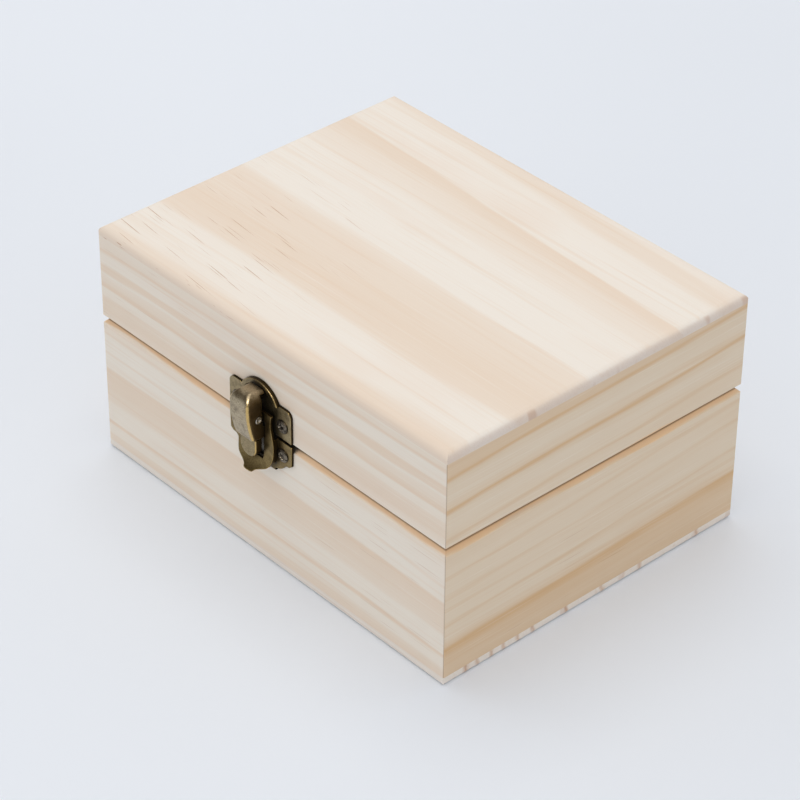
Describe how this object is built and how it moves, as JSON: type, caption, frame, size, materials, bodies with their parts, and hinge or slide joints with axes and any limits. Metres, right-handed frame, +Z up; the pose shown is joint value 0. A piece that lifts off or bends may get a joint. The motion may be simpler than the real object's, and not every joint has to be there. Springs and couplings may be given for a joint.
{
  "type": "hinged wooden storage box",
  "caption": "Small mitred pine box with a hinged lid, a sprung front latch and an inner lattice of cells for upright bottles.",
  "frame": {"origin": "centre of the wooden underside, on the surface the box stands on", "axes": "+X along the long front towards the right end, -Y out of the front that carries the latch, +Z up"},
  "size_m": [0.154, 0.1305, 0.0815],
  "materials": {
    "pine_walls": "sanded, unfinished",
    "pine_panels": "sanded, unfinished",
    "pine_dividers": "sawn, unfinished",
    "aged_brass": "aged plating with worn edges",
    "screw_steel": "dulled",
    "pin_steel": "bright",
    "spring_steel": "bright wire"
  },
  "bodies": {
    "base": {"base_front_wall": "pine_walls", "base_back_wall": "pine_walls", "base_left_wall": "pine_walls", "base_right_wall": "pine_walls", "base_bottom_panel": "pine_panels", "long_divider_1": "pine_dividers", "long_divider_2": "pine_dividers", "cross_divider_1": "pine_dividers", "cross_divider_2": "pine_dividers", "cross_divider_3": "pine_dividers", "hinge_left_base_leaf": "aged_brass", "hinge_right_base_leaf": "aged_brass", "hinge_left_pin": "aged_brass", "hinge_right_pin": "aged_brass", "hinge_base_screws": "screw_steel", "latch_base_plate": "aged_brass", "latch_base_screws": "screw_steel", "latch_spring": "spring_steel"},
    "lid": {"lid_front_wall": "pine_walls", "lid_back_wall": "pine_walls", "lid_left_wall": "pine_walls", "lid_right_wall": "pine_walls", "lid_top_panel": "pine_panels", "hinge_left_lid_leaf": "aged_brass", "hinge_right_lid_leaf": "aged_brass", "hinge_lid_screws": "screw_steel", "latch_catch_plate": "aged_brass", "latch_lid_screws": "screw_steel"},
    "latch_rocker": {"latch_hook": "aged_brass", "latch_thumb_lever": "aged_brass", "latch_pin": "pin_steel"}
  },
  "joints": [
    {"name": "lid_hinge", "type": "hinge", "parent": "base", "child": "lid", "pos_m": [0, 0.0604, 0.04815], "axis": [-1, 0, 0], "range_deg": [0, 175]},
    {"name": "latch_press", "type": "hinge", "parent": "base", "child": "latch_rocker", "pos_m": [-0.00125, -0.0644, 0.05545], "axis": [1, 0, 0], "range_deg": [0, 12], "stiffness_Nm_per_rad": 0.1, "springref_deg": -20.05, "deforming": ["latch_spring"]}
  ]
}
